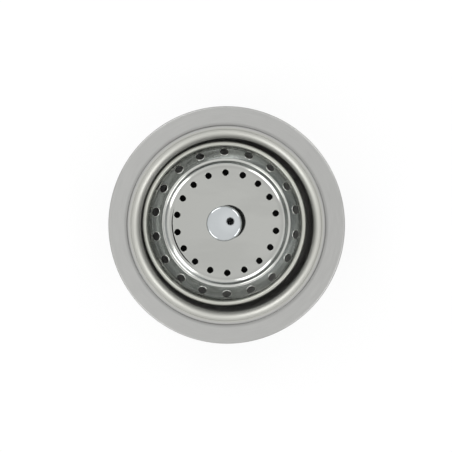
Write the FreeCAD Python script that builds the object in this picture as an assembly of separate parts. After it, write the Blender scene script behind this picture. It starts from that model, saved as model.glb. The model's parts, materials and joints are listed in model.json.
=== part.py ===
import FreeCAD
import Part
import math
import os

# Basket strainer waste for a kitchen sink, in millimetres.
# z = 0 is the plane where the flange meets the sink deck, and the body's axis is Z.

# The inside of a bend no larger than this is pressed sharp
tight_bend = 0.4

# Strainer body: one deep-drawn steel cup, with a flange 114.3 across
body_sheet = 0.9
throat_r = 42.0
throat_round = 3.8
lip_land = 0.15
lip_width = 0.25
lip_drop = 0.25
ring_width = 1.5
step_width = 0.4
flange_rise = 0.7
flange_width = 9.05
bowl_depth = 30.6
bowl_round = 6.0
body_thread_height = 0.8
thread_clearance = 0.15

# Outlet spigot: its neck passes through the bowl's floor and is clinched over
spigot_bore_r = 20.6
cross_ledge = 1.0
neck_wall = 1.1
neck_clearance = 0.1
clinch_width = 2.6
clinch_height = 1.2
spigot_wall = 2.3
spigot_length = 26.0

# Cross in the spigot, with a hub that guides the basket's post
cross_thickness = 1.5
cross_arm_width = 4.0
cross_arm_count = 4
cross_clearance = 0.1
hub_width = 3.0
hub_gap = 0.6

# Clamp under the sink deck: gasket, friction ring and locknut
deck_space = 8.0
gasket_thickness = 4.0
gasket_width = 11.0
gasket_chamfer = 1.0
gasket_bevel = 2.0
ring_thickness = 1.0
friction_ring_width = 10.0
locknut_height = 11.0
locknut_wall = 5.0
locknut_flange_width = 10.0
locknut_flange_height = 3.0
lug_count = 8
lug_width = 6.0
lug_length = 4.0

# Coupling nut and washer for a tailpiece of 1-1/2 inch tube
tailpiece_r = 19.05
tailpiece_clearance = 0.3
washer_thickness = 2.5
washer_clearance = 0.3
coupling_height = 20.0
coupling_wall = 5.0
coupling_web = 3.0
coupling_bevel = 2.5

# Basket: a drawn and perforated steel cup, which stands off the throat's axis
basket_sheet = 0.7
basket_depth = 14.3
wall_draft = 8.0
knee_drop = 7.2
knee_round = 4.0
cone_angle = 44.6
ledge_rise = 2.0
ledge_width = 0.8
ledge_slope = 36.0
ledge_round = 1.3
ledge_crease = 0.35
basket_round = 5.5
rim_clearance = 2.0
rim_side_gap = 0.45
rim_shift_angle = 157.2
rim_width = 2.1
rim_drop = 2.2
hole_count = 18
hole_phase = 91.0
wall_hole_d = 4.2
wall_hole_drop = 9.2
floor_hole_d = 3.1
floor_hole_inset = 1.6

# Knob: a turned mushroom with a blind hole for the post
knob_d = 17.3
knob_height = 14.4
knob_dome_r = 36.0
knob_edge_round = 1.3
knob_side = 1.0
knob_chamfer = 0.7
neck_r = 3.9
neck_height = 5.0
collar_r = 5.6
collar_height = 1.2
stud_length = 6.5

# Post and the stack that it clamps under the basket's floor
post_r = 3.0
post_clearance = 0.1
bush_r = 6.0
bush_height = 4.0
plate_r = 20.0
plate_thickness = 1.0
stopper_overhang = 2.5
stopper_thickness = 5.0
stopper_lip = 2.2
stopper_bevel = 0.8
stopper_land = 1.5
plain_washer_r = 9.0
plain_washer_thickness = 1.2
lock_washer_r = 5.2
lock_washer_thickness = 1.3
lock_washer_split = 1.0
post_nut_across = 10.0
post_nut_height = 4.0

# Foot of the post, with the spring clip that snaps through the hub
foot_r = 2.6
foot_gap = 2.6
clip_length = 6.0
clip_strip = 0.5
clip_width = 4.0
clip_snap = 0.6
clip_tip_gap = 0.6
clip_bend = 0.8
rivet_r = 1.2
rivet_clearance = 0.2
rivet_head_r = 2.0
rivet_head_height = 0.8
rivet_shank_length = 4.0

# Radii that follow from the sizes above
body_outer_r = throat_r + body_sheet
body_thread_r = body_outer_r + body_thread_height
lip_r = throat_r + throat_round + lip_land
ring_outer_r = lip_r + lip_width + ring_width
flange_r = ring_outer_r + step_width + flange_width
cross_r = spigot_bore_r + cross_ledge
neck_outer_r = cross_r + neck_wall
clinch_r = neck_outer_r + clinch_width
spigot_thread_r = cross_r + spigot_wall
rim_r = throat_r - rim_clearance
rim_inner_r = rim_r - rim_width
stopper_r = clinch_r + stopper_overhang
post_hole_r = post_r + post_clearance
basket_shift = rim_clearance - rim_side_gap
hub_bore_r = foot_r + basket_shift + hub_gap

# Heights that follow, from the bowl's floor up to the rim and down to the coupling nut
seat_z = clinch_height - bowl_depth
stopper_top_z = seat_z + stopper_thickness
plate_top_z = stopper_top_z + plate_thickness
bush_top_z = plate_top_z + bush_height
basket_floor_z = bush_top_z + basket_sheet
rim_z = basket_floor_z + basket_depth
plain_washer_z = seat_z - plain_washer_thickness
lock_washer_z = plain_washer_z - lock_washer_thickness
post_nut_z = lock_washer_z - post_nut_height
cross_top_z = post_nut_z - foot_gap
cross_z = cross_top_z - cross_thickness
foot_z = cross_z - clip_tip_gap - clip_length
spigot_top_z = -bowl_depth - body_sheet
spigot_z = spigot_top_z - spigot_length
coupling_web_z = spigot_z - washer_thickness
coupling_z = coupling_web_z - coupling_web
gasket_z = -deck_space - gasket_thickness
friction_ring_z = gasket_z - ring_thickness

# The basket's own axis
basket_x = basket_shift * math.cos(math.radians(rim_shift_angle))
basket_y = basket_shift * math.sin(math.radians(rim_shift_angle))


def at(r, z):
    """A point of a profile, r from the axis and z high."""
    return FreeCAD.Vector(r, 0, z)


def unit(start, end):
    """The direction from one (r, z) point to another."""
    length = math.hypot(end[0] - start[0], end[1] - start[1])
    return (end[0] - start[0]) / length, (end[1] - start[1]) / length


def turn_between(before, after):
    """The angle by which a path turns, positive to the left."""
    cross = before[0] * after[1] - before[1] * after[0]
    dot = before[0] * after[0] + before[1] * after[1]
    return math.atan2(cross, dot)


def offset_corners(corners, distance):
    """The same path moved to its left by distance, with the bend radii to match."""
    moved = []
    last = len(corners) - 1
    for i, (r, z, bend) in enumerate(corners):
        before = unit(corners[max(i - 1, 0)], corners[max(i, 1)])
        after = unit(corners[min(i, last - 1)], corners[min(i + 1, last)])
        turn = turn_between(before, after)
        along = distance * math.tan(turn / 2)
        new_bend = bend - math.copysign(distance, turn)
        moved.append((
            r - distance * before[1] - along * before[0],
            z + distance * before[0] - along * before[1],
            new_bend if bend and new_bend > tight_bend else 0.0,
        ))
    return moved


def path_edges(corners):
    """Straight runs through (r, z, bend) corners, with a tangent arc at each bend."""
    edges = []
    here = corners[0]
    for previous, corner, following in zip(corners, corners[1:], corners[2:]):
        r, z, bend = corner
        if bend == 0:
            edges.append(Part.makeLine(at(*here[:2]), at(r, z)))
            here = corner
            continue
        before = unit(previous, corner)
        after = unit(corner, following)
        turn = turn_between(before, after)
        reach = bend * math.tan(abs(turn) / 2)
        start = (r - reach * before[0], z - reach * before[1])
        end = (r + reach * after[0], z + reach * after[1])
        bulge = bend * (1 / math.cos(turn / 2) - 1)
        inward = unit((0, 0), (after[0] - before[0], after[1] - before[1]))
        middle = at(r + bulge * inward[0], z + bulge * inward[1])
        edges.append(Part.makeLine(at(*here[:2]), at(*start)))
        edges.append(Part.Arc(at(*start), middle, at(*end)).toShape())
        here = end
    edges.append(Part.makeLine(at(*here[:2]), at(*corners[-1][:2])))
    return edges


def face_of(edges):
    """The flat face inside a closed ring of edges."""
    return Part.Face(Part.Wire(Part.__sortEdges__(edges)))


def sheet_face(corners, thickness):
    """The section of a sheet whose right-hand side follows the corners."""
    back = offset_corners(corners, thickness)
    edges = path_edges(corners) + path_edges(back)
    for front_end, back_end in ((corners[0], back[0]), (corners[-1], back[-1])):
        edges.append(Part.makeLine(at(*front_end[:2]), at(*back_end[:2])))
    return face_of(edges)


def solid_face(points):
    """The section of a solid with straight sides."""
    return Part.Face(Part.makePolygon([at(r, z) for r, z in points + points[:1]]))


def turned(face):
    """A solid of revolution about the axis."""
    return face.revolve(at(0, 0), FreeCAD.Vector(0, 0, 1), 360)


def ring(inner_r, outer_r, z, height):
    """A flat ring that stands on z."""
    return turned(solid_face([(inner_r, z), (outer_r, z), (outer_r, z + height), (inner_r, z + height)]))


def around(shape, count, first_angle=0.0):
    """Copies of a shape, spaced evenly about the axis."""
    copies = []
    for i in range(count):
        copy = shape.copy()
        copy.rotate(at(0, 0), FreeCAD.Vector(0, 0, 1), first_angle + 360.0 * i / count)
        copies.append(copy)
    return copies


def hexagon(across, z, height):
    """A six-sided prism with its flats across apart."""
    corner_r = across / 2 / math.cos(math.pi / 6)
    corners = [
        FreeCAD.Vector(corner_r * math.cos(i * math.pi / 3), corner_r * math.sin(i * math.pi / 3), z)
        for i in range(6)
    ]
    base = Part.Face(Part.makePolygon(corners + corners[:1]))
    return base.extrude(FreeCAD.Vector(0, 0, height))


def strainer_body():
    """Flange, step, lip, throat and bowl, drawn from one sheet."""
    flange_top = body_sheet + flange_rise
    corners = [
        (flange_r, 0, 0),
        (flange_r, flange_top, body_sheet),
        (ring_outer_r + step_width, flange_top, 0),
        (ring_outer_r, body_sheet, 0),
        (lip_r + lip_width, body_sheet, 0),
        (lip_r, body_sheet - lip_drop, 0),
        (throat_r, body_sheet - lip_drop, throat_round),
        (throat_r, -bowl_depth, bowl_round),
        (neck_outer_r + neck_clearance, -bowl_depth, 0),
    ]
    return turned(sheet_face(corners, body_sheet))


def outlet_spigot():
    """Tube with a clinched neck above and a ledge for the cross inside."""
    points = [
        (spigot_bore_r, spigot_z),
        (spigot_thread_r, spigot_z),
        (spigot_thread_r, spigot_top_z),
        (neck_outer_r, spigot_top_z),
        (neck_outer_r, -bowl_depth),
        (clinch_r, -bowl_depth),
        (clinch_r, seat_z),
        (cross_r, seat_z),
        (cross_r, cross_z),
        (spigot_bore_r, cross_z),
    ]
    return turned(solid_face(points))


def outlet_cross():
    """Stamped cross that lies on the spigot's ledge."""
    rim_of_arms = cross_r - cross_clearance
    hub_r = hub_bore_r + hub_width
    disc = Part.makeCylinder(rim_of_arms, cross_thickness, at(0, cross_z))
    corner = FreeCAD.Vector(0, -cross_arm_width / 2, cross_z)
    arm = Part.makeBox(cross_r, cross_arm_width, cross_thickness, corner)
    plate = Part.makeCylinder(hub_r, cross_thickness, at(0, cross_z))
    plate = plate.multiFuse(around(arm, cross_arm_count)).common(disc)
    return plate.cut(Part.makeCylinder(hub_bore_r, cross_thickness, at(0, cross_z))).removeSplitter()


def rubber_gasket():
    """Flat seal with chamfered outer edges, bevelled inside to clear the curve under the flange."""
    inner_r = body_thread_r + thread_clearance
    outer_r = inner_r + gasket_width
    points = [
        (inner_r, gasket_z),
        (outer_r - gasket_chamfer, gasket_z),
        (outer_r, gasket_z + gasket_chamfer),
        (outer_r, -deck_space - gasket_chamfer),
        (outer_r - gasket_chamfer, -deck_space),
        (inner_r + gasket_bevel, -deck_space),
        (inner_r, -deck_space - gasket_bevel),
    ]
    return turned(solid_face(points))


def friction_ring():
    """Fibre ring on which the locknut turns."""
    inner_r = body_thread_r + thread_clearance
    return ring(inner_r, inner_r + friction_ring_width, friction_ring_z, ring_thickness)


def locknut():
    """Cast ring with a bearing flange on top and lugs for a spanner."""
    inner_r = body_thread_r + thread_clearance
    outer_r = inner_r + locknut_wall
    flange_z = friction_ring_z - locknut_flange_height
    bottom_z = friction_ring_z - locknut_height
    wall = ring(inner_r, outer_r, bottom_z, locknut_height)
    flange = ring(inner_r, inner_r + locknut_flange_width, flange_z, locknut_flange_height)
    lug_root_r = outer_r - locknut_wall / 2
    corner = FreeCAD.Vector(lug_root_r, -lug_width / 2, bottom_z)
    lug = Part.makeBox(locknut_wall / 2 + lug_length, lug_width, locknut_height, corner)
    return wall.multiFuse([flange] + around(lug, lug_count)).removeSplitter()


def coupling_washer():
    """Flat washer between the spigot's end and the coupling nut."""
    inner_r = tailpiece_r + tailpiece_clearance
    return ring(inner_r, spigot_thread_r - washer_clearance, coupling_web_z, washer_thickness)


def coupling_nut():
    """Six-sided nut, bevelled at both ends, with a web under its thread."""
    bore_r = spigot_thread_r + thread_clearance
    across = 2 * (bore_r + coupling_wall)
    corner_r = across / 2 / math.cos(math.pi / 6)
    blank = hexagon(across, coupling_z, coupling_height)
    top_z = coupling_z + coupling_height
    bevel_r = corner_r - coupling_bevel
    points = [
        (0, coupling_z),
        (bevel_r, coupling_z),
        (corner_r, coupling_z + coupling_bevel),
        (corner_r, top_z - coupling_bevel),
        (bevel_r, top_z),
        (0, top_z),
    ]
    blank = blank.common(turned(solid_face(points)))
    thread_bore = Part.makeCylinder(bore_r, coupling_height, at(0, coupling_web_z))
    tail_bore = Part.makeCylinder(tailpiece_r + tailpiece_clearance, coupling_height, at(0, coupling_z))
    return blank.cut(thread_bore.fuse(tail_bore))


def basket_cup():
    """Rolled rim, steep wall, cone, ledge and flat floor from one sheet, then perforated."""
    cone = math.radians(cone_angle)
    slope = math.radians(ledge_slope)
    ledge_z = basket_floor_z + ledge_rise
    knee_r = rim_inner_r - knee_drop * math.tan(math.radians(wall_draft))
    cone_foot_r = knee_r - (basket_depth - ledge_rise - knee_drop) * math.tan(cone)
    ledge_r = cone_foot_r - ledge_width
    floor_corner_r = ledge_r - ledge_rise / math.tan(slope)
    floor_flat_r = floor_corner_r - basket_round * math.tan(slope / 2)
    corners = [
        (rim_r, rim_z - rim_drop, 0),
        (rim_r, rim_z, rim_width / 2),
        (rim_inner_r, rim_z, rim_width / 2),
        (knee_r, rim_z - knee_drop, knee_round),
        (cone_foot_r, ledge_z, ledge_crease),
        (ledge_r, ledge_z, ledge_round),
        (floor_corner_r, basket_floor_z, basket_round),
        (post_hole_r, basket_floor_z, 0),
    ]
    cup = turned(sheet_face(corners, basket_sheet))
    drill_length = 4 * basket_sheet
    wall_hole_r = knee_r - (wall_hole_drop - knee_drop) * math.tan(cone)
    outward = FreeCAD.Vector(math.cos(cone), 0, -math.sin(cone))
    wall_start = at(wall_hole_r, rim_z - wall_hole_drop) - outward * drill_length / 2
    wall_drill = Part.makeCylinder(wall_hole_d / 2, drill_length, wall_start, outward)
    floor_start = at(floor_flat_r - floor_hole_inset, basket_floor_z - drill_length / 2)
    floor_drill = Part.makeCylinder(floor_hole_d / 2, drill_length, floor_start)
    drills = around(wall_drill, hole_count, hole_phase) + around(floor_drill, hole_count, hole_phase)
    return cup.cut(Part.makeCompound(drills))


def basket_knob():
    """Mushroom with a domed top, a hollowed neck and a collar on the basket's floor."""
    knob_r = knob_d / 2
    dome_centre_z = basket_floor_z + knob_height - knob_dome_r
    edge_r = knob_r - knob_edge_round
    edge_reach = knob_dome_r - knob_edge_round
    edge_z = dome_centre_z + math.sqrt(edge_reach ** 2 - edge_r ** 2)
    tangent_angle = math.asin(edge_r / edge_reach)
    edge_angle = (tangent_angle + math.pi / 2) / 2
    side_z = edge_z - knob_side
    under_r = knob_r - knob_chamfer
    under_z = side_z - knob_chamfer
    neck_z = basket_floor_z + neck_height
    hollow_r = neck_r + (under_r - neck_r) * (1 - math.sqrt(0.5))
    hollow_z = neck_z + (under_z - neck_z) * math.sqrt(0.5)
    collar_z = basket_floor_z + collar_height
    stud_z = basket_floor_z + stud_length

    def on_dome(angle):
        return at(knob_dome_r * math.sin(angle), dome_centre_z + knob_dome_r * math.cos(angle))

    def on_edge(angle):
        return at(edge_r + knob_edge_round * math.sin(angle), edge_z + knob_edge_round * math.cos(angle))

    outline = [
        at(under_r, under_z),
        at(knob_r, side_z),
        at(knob_r, edge_z),
    ]
    foot = [
        at(neck_r, neck_z),
        at(neck_r, collar_z + collar_r - neck_r),
        at(collar_r, collar_z),
        at(collar_r, basket_floor_z),
        at(post_hole_r, basket_floor_z),
        at(post_hole_r, stud_z),
        at(0, stud_z),
        on_dome(0),
    ]
    edges = [
        Part.Arc(on_dome(0), on_dome(tangent_angle / 2), on_dome(tangent_angle)).toShape(),
        Part.Arc(on_dome(tangent_angle), on_edge(edge_angle), at(knob_r, edge_z)).toShape(),
        Part.Arc(outline[0], at(hollow_r, hollow_z), foot[0]).toShape(),
    ]
    for points in (outline, foot):
        edges += [Part.makeLine(start, end) for start, end in zip(points, points[1:])]
    return turned(face_of(edges))


def basket_post():
    """Stud in the knob, shank through the stack, and a thinner foot drilled for the rivet."""
    stud_z = basket_floor_z + stud_length
    hole_r = rivet_r + post_clearance
    points = [
        (0, stud_z),
        (0, foot_z + rivet_shank_length),
        (hole_r, foot_z + rivet_shank_length),
        (hole_r, foot_z),
        (foot_r, foot_z),
        (foot_r, post_nut_z),
        (post_r, post_nut_z),
        (post_r, stud_z),
    ]
    return turned(solid_face(points))


def rubber_stopper():
    """Disc with a flat underside and a top that falls away to a thin lip."""
    land_r = plate_r + stopper_land
    points = [
        (post_hole_r, seat_z),
        (stopper_r - stopper_bevel, seat_z),
        (stopper_r, seat_z + stopper_bevel),
        (stopper_r, seat_z + stopper_lip),
        (land_r, stopper_top_z),
        (post_hole_r, stopper_top_z),
    ]
    return turned(solid_face(points))


def lock_washer():
    """Spring washer, split on one side."""
    washer = ring(post_hole_r, lock_washer_r, lock_washer_z, lock_washer_thickness)
    corner = FreeCAD.Vector(0, -lock_washer_split / 2, lock_washer_z)
    split = Part.makeBox(2 * lock_washer_r, lock_washer_split, lock_washer_thickness, corner)
    return washer.cut(split)


def post_nut():
    """Six-sided nut on the post."""
    nut = hexagon(post_nut_across, post_nut_z, post_nut_height)
    return nut.cut(Part.makeCylinder(post_hole_r, post_nut_height, at(0, post_nut_z)))


def post_clip():
    """Strip of spring steel, bent round the foot with bowed legs."""
    web_z = foot_z - clip_strip
    bow_r = hub_bore_r + clip_snap
    bow_z = foot_z + clip_length / 2
    tip_r = foot_r + clip_strip + clip_tip_gap
    tip_z = foot_z + clip_length
    corners = [
        (-tip_r, tip_z, 0),
        (-bow_r, bow_z, clip_bend),
        (-foot_r - clip_strip, web_z, clip_bend),
        (foot_r + clip_strip, web_z, clip_bend),
        (bow_r, bow_z, clip_bend),
        (tip_r, tip_z, 0),
    ]
    strip = sheet_face(corners, clip_strip).extrude(FreeCAD.Vector(0, clip_width, 0))
    strip.translate(FreeCAD.Vector(0, -clip_width / 2, 0))
    return strip.cut(Part.makeCylinder(rivet_r + rivet_clearance, clip_strip, at(0, web_z)))


def clip_rivet():
    """Headed pin that holds the clip against the foot."""
    head_top_z = foot_z - clip_strip
    shank = Part.makeCylinder(rivet_r, rivet_shank_length + clip_strip, at(0, head_top_z))
    head = Part.makeCylinder(rivet_head_r, rivet_head_height, at(0, head_top_z - rivet_head_height))
    return shank.fuse(head)


on_body_axis = {
    "strainer_body": strainer_body(),
    "outlet_spigot": outlet_spigot(),
    "outlet_cross": outlet_cross(),
    "rubber_gasket": rubber_gasket(),
    "friction_ring": friction_ring(),
    "locknut": locknut(),
    "coupling_washer": coupling_washer(),
    "coupling_nut": coupling_nut(),
}
on_basket_axis = {
    "basket_cup": basket_cup(),
    "basket_knob": basket_knob(),
    "basket_post": basket_post(),
    "spacer_bush": ring(post_hole_r, bush_r, plate_top_z, bush_height),
    "stopper_plate": ring(post_hole_r, plate_r, stopper_top_z, plate_thickness),
    "rubber_stopper": rubber_stopper(),
    "plain_washer": ring(post_hole_r, plain_washer_r, plain_washer_z, plain_washer_thickness),
    "lock_washer": lock_washer(),
    "post_nut": post_nut(),
    "post_clip": post_clip(),
    "clip_rivet": clip_rivet(),
}

os.makedirs("parts", exist_ok=True)
for name, shape in on_basket_axis.items():
    shape.translate(FreeCAD.Vector(basket_x, basket_y, 0))
for name, shape in {**on_body_axis, **on_basket_axis}.items():
    shape.exportStep("parts/" + name + ".step")
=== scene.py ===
import json
import math

import bmesh
import bpy
from mathutils import Matrix, Vector

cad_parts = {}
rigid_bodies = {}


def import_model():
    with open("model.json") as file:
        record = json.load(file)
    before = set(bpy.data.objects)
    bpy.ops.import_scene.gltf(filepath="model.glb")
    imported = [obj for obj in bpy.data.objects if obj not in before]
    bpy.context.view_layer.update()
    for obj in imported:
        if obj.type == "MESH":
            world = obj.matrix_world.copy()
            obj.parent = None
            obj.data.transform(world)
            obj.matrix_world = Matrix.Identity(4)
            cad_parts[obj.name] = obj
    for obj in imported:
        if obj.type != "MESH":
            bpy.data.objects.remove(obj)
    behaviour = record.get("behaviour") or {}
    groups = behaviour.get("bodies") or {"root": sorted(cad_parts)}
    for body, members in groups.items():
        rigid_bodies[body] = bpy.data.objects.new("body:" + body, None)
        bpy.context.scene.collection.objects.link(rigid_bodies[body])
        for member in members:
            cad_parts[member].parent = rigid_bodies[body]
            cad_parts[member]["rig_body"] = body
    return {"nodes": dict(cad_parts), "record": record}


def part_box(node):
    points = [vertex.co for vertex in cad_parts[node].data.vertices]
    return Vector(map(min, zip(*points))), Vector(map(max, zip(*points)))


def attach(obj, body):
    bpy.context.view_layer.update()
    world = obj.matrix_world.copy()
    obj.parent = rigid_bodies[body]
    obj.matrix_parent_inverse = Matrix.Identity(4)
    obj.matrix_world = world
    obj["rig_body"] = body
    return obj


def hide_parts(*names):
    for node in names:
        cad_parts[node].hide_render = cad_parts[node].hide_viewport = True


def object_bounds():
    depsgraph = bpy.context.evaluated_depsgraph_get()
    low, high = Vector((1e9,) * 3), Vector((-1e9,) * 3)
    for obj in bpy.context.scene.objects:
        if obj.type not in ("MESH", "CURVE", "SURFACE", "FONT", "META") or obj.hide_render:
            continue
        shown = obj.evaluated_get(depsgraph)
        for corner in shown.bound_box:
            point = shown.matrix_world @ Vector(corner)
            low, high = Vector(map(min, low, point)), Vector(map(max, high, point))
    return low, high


# Basket strainer waste: its finished surfaces, in metres, in the frame of the solids.
# The body's axis is Z, and the basket stands a little off it.

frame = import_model()
cad_low, cad_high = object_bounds()

# Fineness of the meshes; hold is a straight stretch kept beside a bend, weld a distance that counts as none
segments = 240
nut_segments = 192
plate_segments = 64
arc_step = math.radians(7)
edge_step_count = 6
roll_step_count = 3
knob_step_count = 12
arm_tip_step_count = 4
arm_gap_step_count = 6
rows_per_pitch = 9
hold = 0.00006
weld = 0.000001
straight_turn = 0.000001
sharp_angle = math.radians(35)
nut_sharp_angle = math.radians(17)

# Strainer body; a thread's flat is 1 for a plain wave, and more for flat crests and roots
body_sheet = 0.0009
throat_r = 0.042
throat_round = 0.0038
lip_land = 0.00015
lip_width = 0.00025
lip_drop = 0.00025
lip_round = 0.00012
ring_width = 0.0015
step_width = 0.0004
step_crest = 0.00035
step_root = 0.00015
bowl_round = 0.006
body_pitch = 0.00254
body_thread_height = 0.00074
body_thread_top = -0.0048
body_thread_bottom = -0.0246
body_thread_runout = 0.0004
body_thread_flat = 1.0

# Outlet spigot
spigot_neck_r = 0.0227
spigot_r = 0.0239
spigot_ledge_r = 0.0216
spigot_ledge_z = -0.040
spigot_edge = 0.0004
spigot_collar = 0.0045
tail_pitch = 0.0254 / 11.5
tail_thread_height = 0.00095
tail_thread_flat = 1.8

# Cross
cross_arm_count = 4
cross_arm_width = 0.004
cross_edge = 0.0003
hub_width = 0.003

# Clamp and coupling
gasket_bevel = 0.0020
gasket_chamfer = 0.0010
friction_ring_edge = 0.00015
locknut_wall = 0.005
locknut_flange_height = 0.003
locknut_edge = 0.0006
lug_count = 8
lug_width = 0.006
lug_length = 0.004
coupling_washer_edge = 0.0005
coupling_wall = 0.005
coupling_web = 0.003
coupling_bevel = 0.0025
nut_corner = 0.0004
nut_edge = 0.0005
nut_angles = [2 * math.pi * k / nut_segments for k in range(nut_segments)]

# Basket
basket_sheet = 0.0007
wall_draft = math.radians(8.0)
knee_drop = 0.0072
knee_round = 0.0040
cone_angle = math.radians(44.6)
ledge_rise = 0.0020
ledge_width = 0.0008
ledge_slope = math.radians(36.0)
ledge_round = 0.0013
ledge_crease = 0.00035
basket_round = 0.0055
rim_width = 0.0021
rim_drop = 0.0022
hole_count = 18
hole_phase = math.radians(91.0)
hole_columns = 12
wall_hole_r = 0.0021
wall_hole_drop = 0.0092
wall_hole_band = 0.0029
floor_hole_r = 0.00155
floor_hole_inset = 0.0016
floor_hole_band = 0.0023
hole_roll = 0.00022
hole_burr = 0.00005
hole_upper_shares = (1.0, 0.6, 0.25, 0.0)
hole_lower_shares = (0.0, 0.4, 1.0)

# Knob
knob_dome_r = 0.036
knob_edge_round = 0.0013
knob_side = 0.0010
knob_chamfer = 0.0007
knob_neck_r = 0.0039
knob_neck_height = 0.0050
knob_collar_r = 0.0056
knob_collar_height = 0.0012

# Post and stopper
post_edge = 0.0003
bush_edge = 0.0003
plate_edge = 0.0002
washer_edge = 0.0002
rivet_shank_share = 0.6
rivet_round_share = 0.7
stopper_lip = 0.0022
stopper_bevel = 0.0008
stopper_land_r = 0.0215
post_nut_bevel = 0.0006

# Finish: grains are (scale per metre of radius and height, scale round the axis)
body_grain = (2600, 6)
basket_grain = (1500, 7)
knob_grain = (2200, 2)
grain_detail = 4.0
grain_depth = 0.000002
basket_grain_depth = 0.000001
noise_low = 0.3
noise_high = 0.7

# Plain skins: (detail of the grain, how much wider the clouds are)
metal_skin = (5.0, 12)
moulded_skin = (6.0, 15)
cloud_detail = 3.0

# Finish of the body: where it turns from satin to dull, and (radius, tone, tint) outwards from the throat;
# the tones paint a highlight on the throat's rounding, painted shade at the lip and painted shade in the
# crease of the step
plain_tint = (1.0, 1.0, 1.0)
warm_tint = (1.0, 1.0, 0.955)
satin_to_z = -0.014
dull_from_z = -0.020
dull_rough = 0.60
body_line_tone = 0.93
lip_r = throat_r + throat_round + lip_land
crease_r = lip_r + lip_width + ring_width + step_width
body_highlight_and_shade_tones = (
    (throat_r, 0.94, plain_tint),
    (throat_r + 0.0012, 1.0, warm_tint),
    (throat_r + 0.0020, 1.15, warm_tint),
    (lip_r - 0.0012, 1.15, warm_tint),
    (lip_r, 0.92, warm_tint),
    (lip_r + 0.0007, 1.0, warm_tint),
    (crease_r - 0.0010, 1.0, plain_tint),
    (crease_r, 0.62, plain_tint),
    (crease_r + 0.0014, 0.96, plain_tint),
)

# Finish of the basket: (height over the floor, tone, tint) and (height over the floor, roughness); the tones
# are painted light: the floor a little darker, the ledge and wall lighter, a bright painted reflection band
# at the foot of the wall and a warm painted sheen on the rim
basket_painted_light_tones = (
    (0.0, 0.93, plain_tint),
    (0.0002, 0.93, plain_tint),
    (0.0005, 1.18, plain_tint),
    (0.0021, 1.18, plain_tint),
    (0.0024, 1.80, plain_tint),
    (0.0038, 1.68, plain_tint),
    (0.0050, 1.19, plain_tint),
    (0.0126, 1.19, plain_tint),
    (0.0132, 1.08, warm_tint),
    (0.0143, 1.08, warm_tint),
)
basket_roughs = (
    (0.0, 0.05),
    (0.0002, 0.05),
    (0.0005, 0.14),
    (0.0042, 0.14),
    (0.0126, 0.20),
    (0.0132, 0.42),
    (0.0143, 0.42),
)
rough_shares = (0.75, 1.25)
streak_tone = 0.78
smudge_tone = 0.95
smudge_range = (0.35, 0.50)
smudge_detail = 3.0
wipe_turn = math.radians(38)
wipe_scale = (22.0, 90.0, 22.0)
wall_fade = 0.0008

# Finish of the knob: dull right under the cap, and darkened there with painted shade
knob_line_tone = 0.96
cap_fade = 0.0003
under_height = 0.0009
under_cap_shade_tone = 0.12
under_rough = 0.30

# View: the direction from the object to the lens, and what the frame takes in
view_target = Vector((0.00019, -0.00034, 0.001))
view_direction = Vector((0.0917, 0.0334, 0.9952)).normalized()
view_distance = 0.60
view_half_width = 0.1086

# Stage: the floor, the lens that the metal mirrors, the dome as (height, tone, tint), and the lamps
floor_radius = 4.0
floor_white = 0.8
floor_rgb = (242, 242, 242)
lens_distance = 3.0
lens_radius = 0.34
lens_rgb = (14, 15, 17)
glow_reach = math.radians(20)
glow_strength = 0.10
sky_tones = (
    (0.0, 0.7, plain_tint),
    (0.5, 0.85, plain_tint),
    (1.0, 1.0, plain_tint),
)
softbox_turns = [math.radians(azimuth) for azimuth in (45, 128, 222, 321)]
softbox_tilt = math.radians(50)
softbox_distance = 1.2
softbox_size = 0.55
softbox_radiance = 2.5

nodes = frame["nodes"]
record = frame["record"]
slot_of = {row["node"]: row["material_slot"] for row in record["subparts"]}


def srgb(red, green, blue):
    """The linear colour of 8-bit display values."""
    linear = []
    for value in (red / 255, green / 255, blue / 255):
        linear.append(value / 12.92 if value <= 0.04045 else ((value + 0.055) / 1.055) ** 2.4)
    return (*linear, 1.0)


def axis_of(node):
    """The vertical axis of a node, as its x and y."""
    low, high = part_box(node)
    return (low.x + high.x) / 2, (low.y + high.y) / 2


def ring_sizes(node):
    """Inner radius, outer radius, lowest and highest z of a node that is round about its axis."""
    x, y = axis_of(node)
    radii = [math.hypot(v.co.x - x, v.co.y - y) for v in nodes[node].data.vertices]
    low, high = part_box(node)
    return min(radii), max(radii), low.z, high.z


body_axis = (0.0, 0.0)
basket_axis = axis_of("basket_knob")


# Profiles

def left_of(direction):
    """The normal on the left of a direction in the (r, z) plane."""
    return Vector((-direction.y, direction.x))


def heading(start, end):
    """The direction from one corner to the next."""
    return (Vector(end[:2]) - Vector(start[:2])).normalized()


def bend_samples(here, before, after, bend):
    """Samples (point, left normal) round one corner, with a point held straight on both sides."""
    turn = math.atan2(before.x * after.y - before.y * after.x, before.dot(after))
    if abs(turn) < straight_turn:
        return [(here, left_of(before))]
    side = math.copysign(1.0, turn)
    reach = bend * math.tan(abs(turn) / 2)
    start = here - before * reach
    pivot = start + left_of(before) * bend * side
    steps = max(1, math.ceil(abs(turn) / arc_step)) if bend else 0
    samples = [(start - before * hold, left_of(before))]
    for k in range(steps + 1):
        angle = turn * k / steps if steps else turn / 2
        normal = left_of(Matrix.Rotation(angle, 2) @ before)
        samples.append((pivot - normal * bend * side, normal))
    samples.append((here + after * (reach + hold), left_of(after)))
    return samples


def rounded(corners, closed=False):
    """Samples (point, left normal) along (r, z, bend) corners."""
    samples = []
    last = len(corners) - 1
    for i, (r, z, bend) in enumerate(corners):
        here = Vector((r, z))
        if not closed and i in (0, last):
            direction = heading(corners[max(i - 1, 0)], corners[max(i, 1)])
            samples.append((here, left_of(direction)))
            continue
        before = heading(corners[i - 1], corners[i])
        after = heading(corners[i], corners[(i + 1) % len(corners)])
        samples += bend_samples(here, before, after, bend)
    return samples


def section(corners, closed=True):
    """The outline of a solid as (r, z) points; an open one begins and ends on the axis."""
    return [tuple(point) for point, _ in rounded(corners, closed)]


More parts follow.
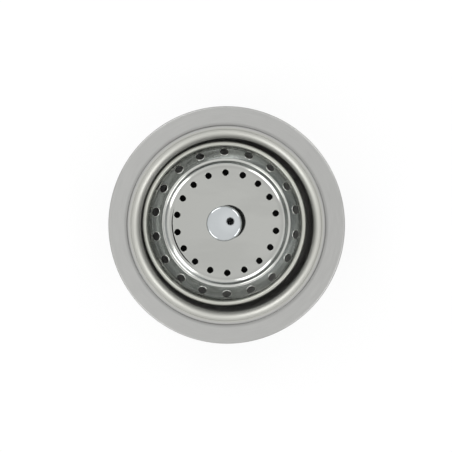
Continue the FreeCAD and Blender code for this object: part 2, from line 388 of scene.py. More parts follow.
def sheet_section(corners, thickness):
    """The closed outline of a bent sheet whose right-hand side follows the corners."""
    samples = rounded(corners)
    front = [tuple(point) for point, _ in samples]
    back = [tuple(point + normal * thickness) for point, normal in samples]
    return front + back[::-1]


# Meshes

def at(axis, r, angle, z):
    """The place at a radius, an angle and a height about a vertical axis."""
    return axis[0] + r * math.cos(angle), axis[1] + r * math.sin(angle), z


def new_object(bm, name, angle):
    """A smooth-shaded object from a mesh, with creases kept sharp."""
    bmesh.ops.remove_doubles(bm, verts=bm.verts, dist=weld)
    bmesh.ops.recalc_face_normals(bm, faces=bm.faces)
    mesh = bpy.data.meshes.new(name)
    bm.to_mesh(mesh)
    bm.free()
    mesh.polygons.foreach_set("use_smooth", [True] * len(mesh.polygons))
    mesh.set_sharp_from_angle(angle=angle)
    obj = bpy.data.objects.new(name, mesh)
    bpy.context.scene.collection.objects.link(obj)
    return obj


def turned(outline, axis=body_axis, closed=True, thread=None):
    """A mesh turned about a vertical axis from (r, z) points."""
    bm = bmesh.new()
    rings = []
    for r, z in outline:
        if r < weld:
            rings.append([bm.verts.new((*axis, z))])
            continue
        ring = []
        for k in range(segments):
            angle = 2 * math.pi * k / segments
            reach = r + thread(r, z, angle) if thread else r
            ring.append(bm.verts.new(at(axis, reach, angle, z)))
        rings.append(ring)
    pairs = list(zip(rings, rings[1:]))
    if closed:
        pairs.append((rings[-1], rings[0]))
    for one, two in pairs:
        for k in range(segments):
            n = (k + 1) % segments
            corners = [one[k % len(one)], one[n % len(one)], two[n % len(two)], two[k % len(two)]]
            corners = list(dict.fromkeys(corners))
            if len(corners) > 2:
                bm.faces.new(corners)
    return bm


def helix(root_r, height, pitch, low, high, flat):
    """A right-hand thread on the cylinder of root_r, which fades out over a pitch at both ends."""
    def shift(r, z, angle):
        """How far the thread lifts a point of the cylinder."""
        if abs(r - root_r) > weld or not low <= z <= high:
            return 0.0
        phase = (z / pitch - angle / (2 * math.pi)) * 2 * math.pi
        wave = min(1.0, max(0.0, 0.5 + flat * math.cos(phase) / 2))
        fade = min(1.0, (z - low) / pitch, (high - z) / pitch)
        return height * wave * fade
    return shift


def thread_rows(r, start, stop, pitch):
    """Corners along a straight wall, close enough together to carry a thread."""
    count = round(abs(stop - start) / pitch * rows_per_pitch)
    return [(r, start + (stop - start) * k / count, 0.0) for k in range(count + 1)]


def strip(bm, rows):
    """Faces between rows of points that close round on themselves."""
    made = [[bm.verts.new(point) for point in row] for row in rows]
    for one, two in zip(made, made[1:]):
        for k in range(len(one)):
            n = (k + 1) % len(one)
            bm.faces.new((one[k], one[n], two[n], two[k]))


def lofted(axis, angles, stations):
    """A closed skin over (outline, level) stations, which give the radius and the height at an angle."""
    loops = []
    for outline, level in stations:
        loop = []
        for a in angles:
            z = level(a) if callable(level) else level
            loop.append(at(axis, outline(a), a, z))
        loops.append(loop)
    bm = bmesh.new()
    strip(bm, loops + loops[:1])
    return bm


def circle(radius):
    """A round outline."""
    return lambda angle: radius


def arms(count, half_width, root, tip):
    """The outline of a disc of radius root with straight-sided arms that reach to tip."""
    def outline(angle):
        aside = abs(math.remainder(angle, 2 * math.pi / count))
        return min(max(half_width / max(math.sin(aside), weld), root), tip)
    return outline


def arm_angles(count, half_width, root, tip):
    """Angles round an outline of arms, with one at each of its corners."""
    at_tip = math.asin(half_width / tip)
    at_root = math.asin(half_width / root)
    half = math.pi / count
    run = [at_tip * k / arm_tip_step_count for k in range(arm_tip_step_count + 1)]
    run += [at_root + (half - at_root) * k / arm_gap_step_count for k in range(arm_gap_step_count + 1)]
    one_arm = [-angle for angle in run[:0:-1]] + run[:-1]
    return [2 * half * arm + angle for arm in range(count) for angle in one_arm]


def six_sided(across, limit):
    """A hexagon with a corner on +X, cut round at a limiting radius."""
    def outline(angle):
        aside = math.remainder(angle - math.pi / 6, math.pi / 3)
        return min(across / 2 / math.cos(aside), limit)
    return outline


def edge_steps(edge):
    """(inset, rise) round a quarter circle, from a flat face to the wall beside it."""
    turns = [math.pi / 2 * k / edge_step_count for k in range(edge_step_count + 1)]
    return [(edge * (1 - math.sin(turn)), edge * (1 - math.cos(turn))) for turn in turns]


# Body pieces

def strainer_body():
    """Flange, step, lip, throat and bowl from one sheet, with a rolled thread outside."""
    low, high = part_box("strainer_body")
    hole_r = ring_sizes("strainer_body")[0]
    ring_top = body_sheet
    lip_z = ring_top - lip_drop
    floor_z = low.z + body_sheet
    ring_inner_r = lip_r + lip_width
    ring_outer_r = ring_inner_r + ring_width
    corners = [
        (high.x, 0.0, 0.0),
        (high.x, high.z, body_sheet),
        (ring_outer_r + step_width, high.z, step_crest),
        (ring_outer_r, ring_top, step_root),
        (ring_inner_r, ring_top, lip_round),
        (lip_r, lip_z, lip_round),
        (throat_r, lip_z, throat_round),
        *thread_rows(throat_r, body_thread_top, body_thread_bottom + body_thread_runout, body_pitch),
        (throat_r, floor_z, bowl_round),
        (hole_r, floor_z, 0.0),
    ]
    root_r = throat_r + body_sheet
    ends = body_thread_bottom, body_thread_top
    thread = helix(root_r, body_thread_height, body_pitch, *ends, body_thread_flat)
    return turned(sheet_section(corners, body_sheet), thread=thread)


def outlet_spigot():
    """Threaded tube with a clinched neck, and a ledge inside for the cross."""
    bore_r, clinch_r, low, high = ring_sizes("outlet_spigot")
    neck_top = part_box("strainer_body")[0].z
    bowl_floor = neck_top + body_sheet
    root_r = spigot_r - tail_thread_height
    thread_top = neck_top - spigot_collar
    corners = [
        (bore_r, low, spigot_edge),
        (root_r, low, spigot_edge),
        *thread_rows(root_r, low + 2 * spigot_edge, thread_top - spigot_edge, tail_pitch),
        (root_r, thread_top, spigot_edge),
        (spigot_r, thread_top, spigot_edge),
        (spigot_r, neck_top, 0.0),
        (spigot_neck_r, neck_top, 0.0),
        (spigot_neck_r, bowl_floor, 0.0),
        (clinch_r, bowl_floor, 0.0),
        (clinch_r, high, spigot_edge),
        (spigot_ledge_r, high, spigot_edge),
        (spigot_ledge_r, spigot_ledge_z, 0.0),
        (bore_r, spigot_ledge_z, spigot_edge),
    ]
    thread = helix(root_r, tail_thread_height, tail_pitch, low, thread_top, tail_thread_flat)
    return turned(section(corners), thread=thread)


def outlet_cross():
    """Stamped cross with a hub round the post."""
    bore, tip, low, high = ring_sizes("outlet_cross")
    hub_r = bore + hub_width
    half = cross_arm_width / 2
    steps = edge_steps(cross_edge)
    stations = [(arms(cross_arm_count, half - i, hub_r - i, tip - i), low + h) for i, h in steps]
    stations += [(arms(cross_arm_count, half - i, hub_r - i, tip - i), high - h) for i, h in steps[::-1]]
    stations += [(circle(bore + i), high - h) for i, h in steps]
    stations += [(circle(bore + i), low + h) for i, h in steps[::-1]]
    return lofted(body_axis, arm_angles(cross_arm_count, half, hub_r, tip), stations)


def locknut():
    """Cast ring with a bearing flange on top and lugs for a spanner."""
    bore, flange_r, low, high = ring_sizes("locknut")
    wall_r = bore + locknut_wall
    tip = wall_r + lug_length
    half = lug_width / 2
    flange_low = high - locknut_flange_height
    steps = edge_steps(locknut_edge)
    stations = [(arms(lug_count, half - i, wall_r - i, tip - i), low + h) for i, h in steps]
    stations += [(arms(lug_count, half, wall_r, tip), flange_low)]
    stations += [(circle(flange_r - i), flange_low + h) for i, h in steps]
    stations += [(circle(flange_r - i), high - h) for i, h in steps[::-1]]
    stations += [(circle(bore + i), high - h) for i, h in steps]
    stations += [(circle(bore + i), low + h) for i, h in steps[::-1]]
    return lofted(body_axis, arm_angles(lug_count, half, wall_r, tip), stations)


def bevelled_hexagon(across, bevel, low, high):
    """Stations up the outside of a nut whose corners are bevelled at both ends."""
    corner_r = across / 2 / math.cos(math.pi / 6) - nut_corner
    side = six_sided(across, corner_r)
    end = six_sided(across, corner_r - bevel)
    return [
        (end, low),
        (side, lambda angle: low + side(angle) - end(angle)),
        (side, lambda angle: high - side(angle) + end(angle)),
        (end, high),
    ]


def coupling_nut():
    """Six-sided nut with a web under its thread."""
    box_low, box_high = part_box("coupling_nut")
    tail_r, _, low, high = ring_sizes("coupling_nut")
    across = box_high.y - box_low.y
    bore = across / 2 - coupling_wall
    web_z = low + coupling_web
    steps = edge_steps(nut_edge)
    stations = bevelled_hexagon(across, coupling_bevel, low, high)
    stations += [(circle(bore + i), high - h) for i, h in steps]
    stations += [(circle(bore), web_z), (circle(tail_r), web_z)]
    stations += [(circle(tail_r + i), low + h) for i, h in steps[::-1]]
    return lofted(body_axis, nut_angles, stations)


def post_nut():
    """Small six-sided nut."""
    box_low, box_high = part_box("post_nut")
    bore, _, low, high = ring_sizes("post_nut")
    stations = bevelled_hexagon(box_high.y - box_low.y, post_nut_bevel, low, high)
    stations += [(circle(bore), high), (circle(bore), low)]
    return lofted(basket_axis, nut_angles, stations)


def flat_ring(node, edge):
    """A washer with softened edges, the size of its solid."""
    inner, outer, low, high = ring_sizes(node)
    corners = [(inner, low, edge), (outer, low, edge), (outer, high, edge), (inner, high, edge)]
    return turned(section(corners), axis_of(node))


def rubber_gasket():
    """Flat seal with moulded edges."""
    inner, outer, low, high = ring_sizes("rubber_gasket")
    edge = gasket_chamfer / 2
    corners = [
        (inner, low, edge),
        (outer - gasket_chamfer, low, edge),
        (outer, low + gasket_chamfer, edge),
        (outer, high - gasket_chamfer, edge),
        (outer - gasket_chamfer, high, edge),
        (inner + gasket_bevel, high, edge),
        (inner, high - gasket_bevel, edge),
    ]
    return turned(section(corners))


# Basket pieces

def basket_path():
    """The upper side of the basket's sheet from the rim's free edge to the post hole."""
    low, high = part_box("basket_cup")
    rim_r = (high.x - low.x) / 2
    floor_z = low.z + basket_sheet
    rim_inner_r = rim_r - rim_width
    ledge_z = floor_z + ledge_rise
    knee_r = rim_inner_r - knee_drop * math.tan(wall_draft)
    knee_z = high.z - knee_drop
    cone_foot_r = knee_r - (knee_z - ledge_z) * math.tan(cone_angle)
    ledge_r = cone_foot_r - ledge_width
    floor_corner_r = ledge_r - ledge_rise / math.tan(ledge_slope)
    post_hole_r = ring_sizes("basket_cup")[0]
    return [
        (rim_r, high.z - rim_drop, 0.0),
        (rim_r, high.z, rim_width / 2),
        (rim_inner_r, high.z, rim_width / 2),
        (knee_r, knee_z, knee_round),
        (cone_foot_r, ledge_z, ledge_crease),
        (ledge_r, ledge_z, ledge_round),
        (floor_corner_r, floor_z, basket_round),
        (post_hole_r, floor_z, 0.0),
    ]


class Sheet:
    """A bent sheet turned about the basket's axis, addressed by distance along it, angle and depth."""

    def __init__(self, corners):
        self.samples = rounded(corners)
        self.distance = [0.0]
        for (one, _), (two, _) in zip(self.samples, self.samples[1:]):
            self.distance.append(self.distance[-1] + (two - one).length)

    def place(self, distance):
        """The (r, z) point and normal at a distance along the sheet."""
        k = 0
        while k < len(self.distance) - 2 and self.distance[k + 1] < distance:
            k += 1
        share = (distance - self.distance[k]) / (self.distance[k + 1] - self.distance[k])
        (one, normal), (two, next_normal) = self.samples[k], self.samples[k + 1]
        return one.lerp(two, share), normal.lerp(next_normal, share).normalized()

    def fall_to(self, z):
        """The distance at which the sheet has come down to a height."""
        for k, ((one, _), (two, _)) in enumerate(zip(self.samples, self.samples[1:])):
            if one.y > z + weld and two.y <= z + weld:
                share = min(1.0, (one.y - z) / (one.y - two.y))
                return self.distance[k] + share * (self.distance[k + 1] - self.distance[k])
        return self.distance[-1]

    def point(self, distance, angle, depth):
        """The place in space of a point of the sheet."""
        spot, normal = self.place(distance)
        spot = spot + normal * depth
        return at(basket_axis, spot.x, angle, spot.y)


def plain_band(bm, sheet, stations):
    """The sheet along (distance, depth) stations, all round."""
    columns = hole_count * hole_columns
    angles = [hole_phase + 2 * math.pi * (k / columns + 0.5 / hole_count) for k in range(columns)]
    strip(bm, [[sheet.point(d, a, depth) for a in angles] for d, depth in stations])


def hole_stations(hole_r):
    """(share of the way to the frame, radius, depth) from the upper side through the hole to the lower."""
    upper = [(share, hole_r + hole_roll + hold, 0.0) for share in hole_upper_shares]
    for k in range(roll_step_count + 1):
        angle = math.pi / 2 * k / roll_step_count
        upper.append((0.0, hole_r + hole_roll * (1 - math.sin(angle)), hole_roll * (1 - math.cos(angle))))
    lower = [
        (0.0, hole_r, basket_sheet - hole_burr),
        (0.0, hole_r + hole_burr, basket_sheet),
    ]
    lower += [(share, hole_r + hole_burr + hold, basket_sheet) for share in hole_lower_shares]
    return upper + lower


def hole_patch(bm, sheet, middle, angle, band, hole_r):
    """One hole and the stretch of sheet round it, as wide as its share of the ring."""
    half_angle = math.pi / hole_count
    middle_r = sheet.place(middle)[0].x
    around = []
    for side in range(4):
        for k in range(hole_columns):
            run = 2 * k / hole_columns - 1
            frame_point = ((1, run), (-run, 1), (-1, -run), (run, -1))[side]
            turn = math.pi / 2 * side + math.atan2(run, 1)
            around.append((frame_point, turn))
    rows = []
    for share, radius, depth in hole_stations(hole_r):
        row = []
        for (along, across), turn in around:
            to_frame = Vector((along * band, across * half_angle))
            on_circle = Vector((radius * math.cos(turn), radius * math.sin(turn) / middle_r))
            spot = on_circle.lerp(to_frame, share)
            row.append(sheet.point(middle + spot.x, angle + spot.y, depth))
        rows.append(row)
    strip(bm, rows)


def basket_cup():
    """Rolled rim, steep wall, cone, ledge and flat floor from one sheet, punched all round."""
    corners = basket_path()
    sheet = Sheet(corners)
    rim_z, floor_z = corners[1][1], corners[-1][1]
    wall_middle = sheet.fall_to(rim_z - wall_hole_drop)
    floor_middle = sheet.fall_to(floor_z) + floor_hole_inset
    end = sheet.distance[-1]

    def between(start, stop):
        """Distances along the sheet from one to another, with its own samples on the way."""
        return [start, *[d for d in sheet.distance if start + hold < d < stop - hold], stop]

    rim_run = between(0.0, wall_middle - wall_hole_band)
    wall_run = between(wall_middle + wall_hole_band, floor_middle - floor_hole_band)
    floor_run = between(floor_middle + floor_hole_band, end)
    bm = bmesh.new()
    plain_band(bm, sheet, [(d, basket_sheet) for d in rim_run[::-1]] + [(d, 0.0) for d in rim_run])
    plain_band(bm, sheet, [(d, 0.0) for d in wall_run])
    plain_band(bm, sheet, [(d, basket_sheet) for d in wall_run])
    plain_band(bm, sheet, [(d, 0.0) for d in floor_run] + [(d, basket_sheet) for d in floor_run[::-1]])
    for k in range(hole_count):
        angle = hole_phase + 2 * math.pi * k / hole_count
        hole_patch(bm, sheet, wall_middle, angle, wall_hole_band, wall_hole_r)
        hole_patch(bm, sheet, floor_middle, angle, floor_hole_band, floor_hole_r)
    return bm


def knob_levels():
    """The heights at which the knob's edge rounding and its straight side end."""
    _, knob_r, _, high = ring_sizes("basket_knob")
    edge_r = knob_r - knob_edge_round
    edge_z = high - knob_dome_r + math.sqrt((knob_dome_r - knob_edge_round) ** 2 - edge_r ** 2)
    return edge_z, edge_z - knob_side


def oval(centre, radii, start, stop, first):
    """(r, z) points round an ellipse between two angles from its top, from a first step on."""
    points = []
    for k in range(first, knob_step_count + 1):
        angle = start + (stop - start) * k / knob_step_count
        points.append((centre[0] + radii[0] * math.sin(angle), centre[1] + radii[1] * math.cos(angle)))
    return points


def basket_knob():
    """Turned mushroom with a domed top and a hollowed neck."""
    _, knob_r, low, high = ring_sizes("basket_knob")
    dome_z = high - knob_dome_r
    edge_r = knob_r - knob_edge_round
    edge_z, side_z = knob_levels()
    tangent = math.asin(edge_r / (knob_dome_r - knob_edge_round))
    under_r = knob_r - knob_chamfer
    under_z = side_z - knob_chamfer
    neck_z = low + knob_neck_height
    collar_z = low + knob_collar_height
    edge_radii = knob_edge_round, knob_edge_round
    neck_radii = knob_neck_r - under_r, under_z - neck_z
    outline = oval((0.0, dome_z), (knob_dome_r, knob_dome_r), 0.0, tangent, 0)
    outline += oval((edge_r, edge_z), edge_radii, tangent, math.pi / 2, 1)
    outline += [(knob_r, side_z + hold), (knob_r, side_z), (under_r, under_z)]
    outline += oval((under_r, neck_z), neck_radii, 0.0, math.pi / 2, 1)
    outline += [
        (knob_neck_r, collar_z + knob_collar_r - knob_neck_r),
        (knob_collar_r, collar_z),
        (knob_collar_r, low),
        (0.0, low),
    ]
    return turned(outline, basket_axis, closed=False)


def basket_post():
    """Round post with a thinner foot."""
    x, y = basket_axis
    low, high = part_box("basket_post")
    post_r = (high.x - low.x) / 2
    nut_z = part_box("post_nut")[0].z
    foot = [v.co for v in nodes["basket_post"].data.vertices if v.co.z < low.z + weld]
    foot_r = max(math.hypot(p.x - x, p.y - y) for p in foot)
    corners = [
        (0.0, low.z, 0.0),
        (foot_r, low.z, post_edge),
        (foot_r, nut_z, 0.0),
        (post_r, nut_z, post_edge),
        (post_r, high.z, post_edge),
        (0.0, high.z, 0.0),
    ]
    return turned(section(corners, closed=False), basket_axis, closed=False)


def clip_rivet():
    """Round-headed pin through the clip."""
    _, head_r, low, high = ring_sizes("clip_rivet")
    clip_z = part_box("post_clip")[0].z
    shank_r = head_r * rivet_shank_share
    head_round = (clip_z - low) * rivet_round_share
    corners = [
        (0.0, low, 0.0),
        (head_r, low, head_round),
        (head_r, clip_z, 0.0),
        (shank_r, clip_z, 0.0),
        (shank_r, high, 0.0),
        (0.0, high, 0.0),
    ]
    return turned(section(corners, closed=False), basket_axis, closed=False)


def rubber_stopper():
    """Disc with a flat underside and a top that falls away to a thin lip."""
    inner, outer, low, high = ring_sizes("rubber_stopper")
    edge = stopper_bevel / 2
    corners = [
        (inner, low, 0.0),
        (outer - stopper_bevel, low, edge),
        (outer, low + stopper_bevel, edge),
        (outer, low + stopper_lip, edge),
        (stopper_land_r, high, stopper_bevel),
        (inner, high, 0.0),
    ]
    return turned(section(corners), basket_axis)


# Materials

def add(tree, kind, inputs=None, **settings):
    """A node with its settings, its inputs given as values or as sockets to join."""
    node = tree.nodes.new(kind)
    for key, value in settings.items():
        setattr(node, key, value)
    for key, value in (inputs or {}).items():
        if isinstance(value, bpy.types.NodeSocket):
            tree.links.new(value, node.inputs[key])
        else:
            node.inputs[key].default_value = value
    return node


def new_material(name):
    """A material with an empty node tree, and the tree."""
    material = bpy.data.materials.new(name)
    material.use_nodes = True
    material.node_tree.nodes.clear()
    return material, material.node_tree


def maths(tree, operation, one, two):
    """The value that an operation on two values gives."""
    return add(tree, "ShaderNodeMath", {0: one, 1: two}, operation=operation).outputs["Value"]


def vector_maths(tree, operation, one, two):
    """The vector or colour that an operation on two of them gives."""
    return add(tree, "ShaderNodeVectorMath", {0: one, 1: two}, operation=operation).outputs["Vector"]


def place_on(tree, axis):
    """Object coordinates measured from a piece's own axis."""
    coords = add(tree, "ShaderNodeTexCoord").outputs["Object"]
    return vector_maths(tree, "ADD", coords, (-axis[0], -axis[1], 0.0))


def flattened(tree, place):
    """A place without its height."""
    return vector_maths(tree, "MULTIPLY", place, (1, 1, 0))


def radius_of(tree, place):
    """The distance of a place from the axis."""
    return add(tree, "ShaderNodeVectorMath", {0: flattened(tree, place)}, operation="LENGTH").outputs["Value"]


def height_of(tree, place):
    """The height of a place."""
    return add(tree, "ShaderNodeSeparateXYZ", {0: place}).outputs["Z"]


def noise(tree, place, scale, detail):
    """Noise that is the same in all directions."""
    inputs = {"Vector": place, "Scale": scale, "Detail": detail}
    return add(tree, "ShaderNodeTexNoise", inputs).outputs["Fac"]


def turned_grain(tree, place, fine, along):
    """Noise that changes fast with radius and height and slowly round the axis."""
    around = add(tree, "ShaderNodeVectorMath", {0: flattened(tree, place)}, operation="NORMALIZE")
    wide = {0: around.outputs["Vector"], "Scale": along}
    wide = add(tree, "ShaderNodeVectorMath", wide, operation="SCALE").outputs["Vector"]
    parts = add(tree, "ShaderNodeSeparateXYZ", {0: wide}).outputs
    rise = maths(tree, "ADD", radius_of(tree, place), height_of(tree, place))
    level = maths(tree, "MULTIPLY", rise, fine)
    spot = add(tree, "ShaderNodeCombineXYZ", {"X": parts["X"], "Y": parts["Y"], "Z": level})
    return noise(tree, spot.outputs["Vector"], 1.0, grain_detail)


def spread(tree, value, low, high, start=noise_low, stop=noise_high):
    """A value between start and stop laid out from low to high."""
    inputs = {"Value": value, "From Min": start, "From Max": stop, "To Min": low, "To Max": high}
    return add(tree, "ShaderNodeMapRange", inputs).outputs["Result"]


def between_tones(tree, factor, one, two):
    """A colour between two tones, which are colours or sockets."""
    return add(tree, "ShaderNodeMix", {0: factor, 6: one, 7: two}, data_type="RGBA").outputs[2]


def between_values(tree, factor, one, two):
    """A value between two others."""
    return add(tree, "ShaderNodeMix", {0: factor, 2: one, 3: two}, data_type="FLOAT").outputs[0]


def shade(colour, share):
    """A colour made darker or lighter."""
    return (*[channel * share for channel in colour[:3]], 1.0)


def mottled(tree, value, colour, tone, *reach):
    """A colour that a noise darkens to a tone where the noise is low."""
    return between_tones(tree, spread(tree, value, 0.0, 1.0, *reach), shade(colour, tone), colour)


def graded(tree, value, stops):
    """A tone laid along a value by (value, tone, tint) stops."""
    start, stop = stops[0][0], stops[-1][0]
    share = spread(tree, value, 0.0, 1.0, start, stop)
    ramp = add(tree, "ShaderNodeValToRGB", {0: share})
    elements = ramp.color_ramp.elements
    while len(elements) < len(stops):
        elements.new(1.0)
    for element, (place, tone, tint) in zip(elements, stops):
        element.position = (place - start) / (stop - start)
        element.color = shade(tint, tone)
    return ramp.outputs["Color"]


def surface(tree, sockets, bump, depth):
    """The shader of a material, with its relief."""
    relief = add(tree, "ShaderNodeBump", {"Height": bump, "Strength": 1.0, "Distance": depth})
    shader = add(tree, "ShaderNodeBsdfPrincipled", {**sockets, "Normal": relief.outputs["Normal"]})
    add(tree, "ShaderNodeOutputMaterial", {"Surface": shader.outputs["BSDF"]})


def drawn_steel(name, colour, satin):
    """The body's steel: satin on the flange, dull down in the bowl, with a painted highlight on the throat's
    rounding and painted shade at the lip and in the crease of the step.
    """
    material, tree = new_material(name)
    place = place_on(tree, body_axis)
    lines = turned_grain(tree, place, *body_grain)
    deep = spread(tree, height_of(tree, place), 1.0, 0.0, dull_from_z, satin_to_z)
    steel = mottled(tree, lines, colour, body_line_tone)
    # Painted highlight on the throat's rounding and painted shade at the lip and in the step's crease, laid
    # out by radius
    tone = graded(tree, radius_of(tree, place), body_highlight_and_shade_tones)
    sockets = {
        "Base Color": vector_maths(tree, "MULTIPLY", steel, tone),
        "Metallic": 1.0,
        "Roughness": between_values(tree, deep, spread(tree, lines, *satin), dull_rough),
    }
    surface(tree, sockets, lines, grain_depth)
    return material


def basket_steel(name, colour):
    """The basket's steel: polished floor, duller bends, a wall streaked by the press and a satin rim, with
    painted light by height: a bright painted reflection band at the wall's foot and a lighter wall and rim.
    """
    material, tree = new_material(name)
    place = place_on(tree, basket_axis)
    height = height_of(tree, place)
    lines = turned_grain(tree, place, *basket_grain)
    wipe = {"Vector": place, "Rotation": (0, 0, wipe_turn), "Scale": wipe_scale}
    wiped = add(tree, "ShaderNodeMapping", wipe).outputs["Vector"]
    low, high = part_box("basket_cup")
    floor_z = low.z + basket_sheet
    ledge_z = floor_z + ledge_rise
    over = maths(tree, "SUBTRACT", height, floor_z)
    above = spread(tree, height, 0.0, 1.0, ledge_z, ledge_z + wall_fade)
    below = spread(tree, height, 1.0, 0.0, high.z - 2 * wall_fade, high.z - wall_fade)
    wall = maths(tree, "MULTIPLY", above, below)
    outside_band = mottled(tree, noise(tree, wiped, 1.0, smudge_detail), colour, smudge_tone, *smudge_range)
    streaks = mottled(tree, lines, colour, streak_tone)
    steel = between_tones(tree, wall, outside_band, streaks)
    rough = graded(tree, over, [(level, value, plain_tint) for level, value in basket_roughs])
    # Tones by height over the floor are painted light: a painted reflection band at the wall's foot, a
    # lighter wall and a painted sheen on the rim
    sockets = {
        "Base Color": vector_maths(tree, "MULTIPLY", steel, graded(tree, over, basket_painted_light_tones)),
        "Metallic": 1.0,
        "Roughness": maths(tree, "MULTIPLY", rough, spread(tree, lines, *rough_shares)),
    }
    surface(tree, sockets, lines, basket_grain_depth)
    return material


def knob_chrome(name, colour, rough):
    """The knob's chrome: bright on cap and neck, dull right under the cap and darkened there with painted
    shade.
    """
    material, tree = new_material(name)
    place = place_on(tree, basket_axis)
    height = height_of(tree, place)
    lines = turned_grain(tree, place, *knob_grain)
    _, side_z = knob_levels()
    cap = spread(tree, height, 0.0, 1.0, side_z - cap_fade, side_z)
    neck = spread(tree, height, 1.0, 0.0, side_z - 2 * under_height, side_z - under_height)
    outside_band = maths(tree, "ADD", cap, neck)
    chrome = mottled(tree, lines, colour, knob_line_tone)
    # Painted shade under the cap: the dark tone where the cap and neck masks are both off
    sockets = {
        "Base Color": between_tones(tree, outside_band, shade(colour, under_cap_shade_tone), chrome),
        "Metallic": 1.0,
        "Roughness": between_values(tree, outside_band, under_rough, spread(tree, lines, *rough)),
    }
    surface(tree, sockets, lines, grain_depth)
    return material


def plain_skin(name, skin, metallic, colour, rough, scale, tone, depth):
    """A skin with an even, fine grain and faint clouds."""
    material, tree = new_material(name)
    place = place_on(tree, body_axis)
    detail, wider = skin
    grain = noise(tree, place, scale, detail)
    cloud = noise(tree, place, scale / wider, cloud_detail)
    sockets = {
        "Base Color": mottled(tree, cloud, colour, tone),
        "Metallic": metallic,
        "Roughness": spread(tree, grain, *rough),
    }
    surface(tree, sockets, grain, depth)
    return material


def plain_metal(name, colour, rough, scale, tone=0.88, depth=0.000004):
    """Stamped, cast or plated metal."""
    return plain_skin(name, metal_skin, 1.0, colour, rough, scale, tone, depth)


def moulded(name, colour, rough, scale, tone=0.8, depth=0.00001):
    """Rubber, fibre or plastic."""
    return plain_skin(name, moulded_skin, 0.0, colour, rough, scale, tone, depth)


# By slot: name, colour, (least, most) roughness; for plain skins also the grain's scale, dark tone and depth
materials = {
    "body_steel": drawn_steel("drawn_steel", srgb(182, 182, 180), (0.38, 0.46)),
    "basket_steel": basket_steel("punched_steel", srgb(181, 182, 178)),
    "knob_chrome": knob_chrome("turned_chrome", srgb(196, 200, 202), (0.05, 0.09)),
    "stamped_steel": plain_metal("stamped_steel", srgb(176, 176, 174), (0.22, 0.34), 1800),
    "spring_steel": plain_metal("spring_steel", srgb(150, 152, 155), (0.24, 0.36), 2400),
    "nut_chrome": plain_metal("chromed_casting", srgb(196, 198, 200), (0.08, 0.14), 420, 0.94, 0.00001),
    "spigot_metal": plain_metal("nickel_plate", srgb(190, 186, 174), (0.16, 0.26), 900, 0.92),
    "cast_zinc": plain_metal("zinc_casting", srgb(146, 149, 152), (0.38, 0.55), 900, 0.8, 0.00003),
    "rubber": moulded("black_rubber", srgb(34, 34, 35), (0.5, 0.7), 1600),
    "fibre": moulded("pressed_fibre", srgb(140, 100, 66), (0.75, 0.95), 900, 0.7, 0.00003),
    "washer_plastic": moulded("white_plastic", srgb(226, 225, 219), (0.32, 0.48), 700, 0.95),
}


# Dressing the solids

def dress(node, name, bm, angle=sharp_angle):
    """A finished piece in place of a solid, which rides on the solid's body."""
    piece = new_object(bm, name, angle)
    slot = slot_of[node]
    piece.data.materials.append(materials[slot])
    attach(piece, nodes[node]["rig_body"])
    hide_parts(node)


for node, slot in slot_of.items():
    nodes[node].data.materials.clear()
    nodes[node].data.materials.append(materials[slot])

dress("strainer_body", "drawn_body", strainer_body())
dress("outlet_spigot", "threaded_spigot", outlet_spigot())
dress("outlet_cross", "stamped_cross", outlet_cross())
dress("rubber_gasket", "moulded_gasket", rubber_gasket())
dress("friction_ring", "fibre_ring", flat_ring("friction_ring", friction_ring_edge))
dress("locknut", "cast_locknut", locknut())
dress("coupling_washer", "plastic_washer", flat_ring("coupling_washer", coupling_washer_edge))
dress("coupling_nut", "chromed_nut", coupling_nut(), nut_sharp_angle)
dress("basket_cup", "punched_basket", basket_cup())
dress("basket_knob", "turned_knob", basket_knob())
dress("basket_post", "turned_post", basket_post())
dress("spacer_bush", "turned_bush", flat_ring("spacer_bush", bush_edge))
dress("stopper_plate", "backing_plate", flat_ring("stopper_plate", plate_edge))
dress("rubber_stopper", "moulded_stopper", rubber_stopper())
dress("plain_washer", "flat_washer", flat_ring("plain_washer", washer_edge))
dress("post_nut", "hex_nut", post_nut(), nut_sharp_angle)
dress("clip_rivet", "headed_rivet", clip_rivet())


# Stage

def facing(centre, direction):
    """The matrix of an object at a centre whose Z points along a direction."""
    return Matrix.Translation(centre) @ direction.to_track_quat("Z", "Y").to_matrix().to_4x4()


def plate(name, radius, centre, normal):
    """A round stage plate that faces along a normal."""
    bm = bmesh.new()
    turns = [2 * math.pi * k / plate_segments for k in range(plate_segments)]
    bm.faces.new([bm.verts.new(at((0.0, 0.0), radius, turn, 0.0)) for turn in turns])
    mesh = bpy.data.meshes.new(name)
    bm.to_mesh(mesh)
    bm.free()
    obj = bpy.data.objects.new(name, mesh)
    obj.matrix_world = facing(centre, normal)
    bpy.context.scene.collection.objects.link(obj)
    return obj


def floor_material():
    """Pale floor that shows as white, keeps the shadow, and can be seen through from below."""
    material, tree = new_material("pale_floor")
    path = add(tree, "ShaderNodeLightPath").outputs
    seen = maths(tree, "MAXIMUM", path["Is Camera Ray"], path["Is Glossy Ray"])
    seen = maths(tree, "MAXIMUM", seen, path["Is Transmission Ray"])
    white = maths(tree, "MULTIPLY", seen, floor_white)
    paper = add(tree, "ShaderNodeBsdfDiffuse", {"Color": srgb(*floor_rgb)})
    glow = add(tree, "ShaderNodeEmission", {"Color": (1, 1, 1, 1), "Strength": 1.0})
    upper = add(tree, "ShaderNodeMixShader", {0: white, 1: paper.outputs[0], 2: glow.outputs[0]})
    clear = add(tree, "ShaderNodeBsdfTransparent")
    under = add(tree, "ShaderNodeNewGeometry").outputs["Backfacing"]
    both = add(tree, "ShaderNodeMixShader", {0: under, 1: upper.outputs[0], 2: clear.outputs[0]})
    add(tree, "ShaderNodeOutputMaterial", {"Surface": both.outputs[0]})
    return material


def lens_material():
    """Flat black, for the lens that the polished metal mirrors."""
    material, tree = new_material("lens_black")
    black = add(tree, "ShaderNodeBsdfDiffuse", {"Color": srgb(*lens_rgb)})
    add(tree, "ShaderNodeOutputMaterial", {"Surface": black.outputs[0]})
    return material


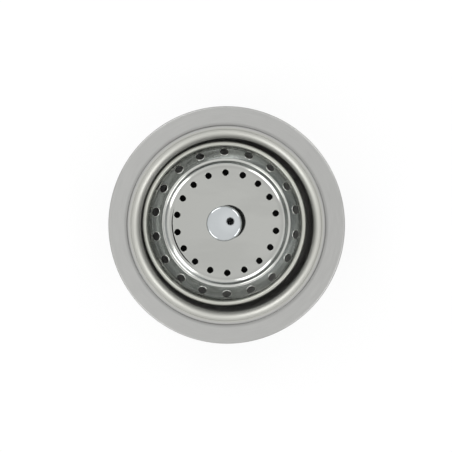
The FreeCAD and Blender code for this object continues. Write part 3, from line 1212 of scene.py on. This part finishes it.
def studio_world():
    """A plain white dome, brightest overhead, with a soft glow round the lens."""
    world = bpy.data.worlds.new("studio")
    bpy.context.scene.world = world
    world.use_nodes = True
    tree = world.node_tree
    tree.nodes.clear()
    direction = add(tree, "ShaderNodeTexCoord").outputs["Generated"]
    dome = graded(tree, height_of(tree, direction), sky_tones)
    to_lens = {0: direction, 1: view_direction}
    near_lens = add(tree, "ShaderNodeVectorMath", to_lens, operation="DOT_PRODUCT").outputs["Value"]
    strength = spread(tree, near_lens, 1.0, 1.0 + glow_strength, math.cos(glow_reach), 1.0)
    background = add(tree, "ShaderNodeBackground", {"Color": dome, "Strength": strength})
    add(tree, "ShaderNodeOutputWorld", {"Surface": background.outputs["Background"]})


def softbox(name, turn):
    """A square lamp at an azimuth that faces the object."""
    side = math.sin(softbox_tilt)
    direction = Vector((side * math.cos(turn), side * math.sin(turn), math.cos(softbox_tilt)))
    data = bpy.data.lights.new(name, "AREA")
    data.shape = "SQUARE"
    data.size = softbox_size
    data.energy = softbox_radiance * softbox_size ** 2 * math.pi
    lamp = bpy.data.objects.new(name, data)
    lamp.matrix_world = facing(direction * softbox_distance, direction)
    lamp.visible_camera = False
    bpy.context.scene.collection.objects.link(lamp)


floor = plate("floor", floor_radius, Vector((0, 0, cad_low.z)), Vector((0, 0, 1)))
floor.data.materials.append(floor_material())

lens = plate("lens", lens_radius, view_target + view_direction * lens_distance, -view_direction)
lens.data.materials.append(lens_material())
lens.visible_camera = False
lens.visible_diffuse = False
lens.visible_shadow = False

studio_world()
for number, softbox_turn in enumerate(softbox_turns):
    softbox(f"softbox_{number}", softbox_turn)

# Camera, upright along +Y
back = view_direction
right = Vector((0, 1, 0)).cross(back).normalized()
up = back.cross(right)
camera_data = bpy.data.cameras.new("camera")
camera_data.sensor_fit = "HORIZONTAL"
camera_data.lens = camera_data.sensor_width / 2 * view_distance / view_half_width
camera = bpy.data.objects.new("camera", camera_data)
turn = Matrix((right, up, back)).transposed()
camera.matrix_world = Matrix.Translation(view_target + back * view_distance) @ turn.to_4x4()
bpy.context.scene.collection.objects.link(camera)
bpy.context.scene.camera = camera

bpy.context.scene.view_settings.view_transform = "Standard"
